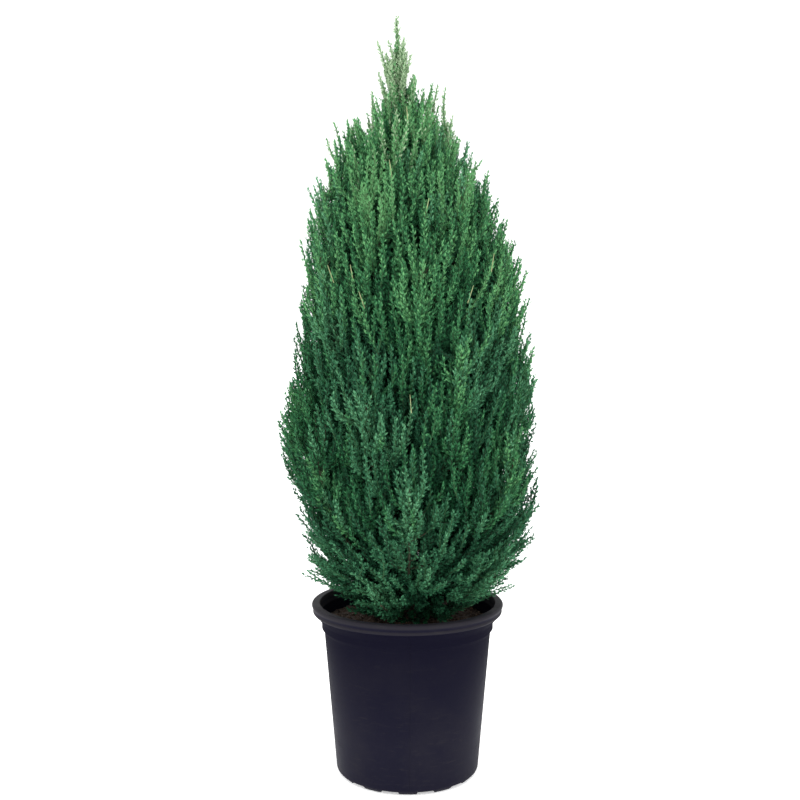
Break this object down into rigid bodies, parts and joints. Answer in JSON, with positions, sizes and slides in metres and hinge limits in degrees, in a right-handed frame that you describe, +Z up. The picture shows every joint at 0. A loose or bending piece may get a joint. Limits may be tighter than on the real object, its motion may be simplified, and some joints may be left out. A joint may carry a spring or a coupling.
{
  "type": "potted chinese juniper",
  "caption": "Upright, narrow cone-shaped evergreen with dense feathery plumes of needles, growing in a round plastic nursery pot.",
  "frame": {"origin": "middle of the pot's flat underside, on the ground", "axes": "+Z up along the trunk, -Y towards the side that the picture shows, +X to that view's right"},
  "size_m": [0.4512, 0.4528, 1.34],
  "materials": {
    "bark": "rough fibrous brown bark",
    "needles": "dull blue-green needles with lighter tips",
    "pot_plastic": "black, satin, lightly scuffed",
    "potting_mix": "dark moist crumb"
  },
  "bodies": {
    "root": {"bough_lower_1": "bark", "bough_lower_2": "bark", "bough_lower_3": "bark", "bough_lower_4": "bark", "bough_lower_5": "bark", "bough_lower_6": "bark", "bough_lower_7": "bark", "bough_middle_1": "bark", "bough_middle_2": "bark", "bough_middle_3": "bark", "bough_middle_4": "bark", "bough_middle_5": "bark", "bough_middle_6": "bark", "bough_middle_7": "bark", "bough_shoulder_1": "bark", "bough_shoulder_2": "bark", "bough_shoulder_3": "bark", "bough_shoulder_4": "bark", "bough_shoulder_5": "bark", "bough_shoulder_6": "bark", "plume_leader": "needles", "plume_lower_1": "needles", "plume_lower_2": "needles", "plume_lower_3": "needles", "plume_lower_4": "needles", "plume_lower_5": "needles", "plume_lower_6": "needles", "plume_lower_7": "needles", "plume_middle_1": "needles", "plume_middle_2": "needles", "plume_middle_3": "needles", "plume_middle_4": "needles", "plume_middle_5": "needles", "plume_middle_6": "needles", "plume_middle_7": "needles", "plume_shoulder_1": "needles", "plume_shoulder_2": "needles", "plume_shoulder_3": "needles", "plume_shoulder_4": "needles", "plume_shoulder_5": "needles", "plume_shoulder_6": "needles", "plume_skirt_1": "needles", "plume_skirt_2": "needles", "plume_skirt_3": "needles", "plume_skirt_4": "needles", "plume_skirt_5": "needles", "plume_top_1": "needles", "plume_top_2": "needles", "plume_top_3": "needles", "plume_top_4": "needles", "plume_upper_1": "needles", "plume_upper_2": "needles", "plume_upper_3": "needles", "plume_upper_4": "needles", "plume_upper_5": "needles", "plume_upper_6": "needles", "pot": "pot_plastic", "soil": "potting_mix", "trunk": "bark"}
  },
  "joints": []
}
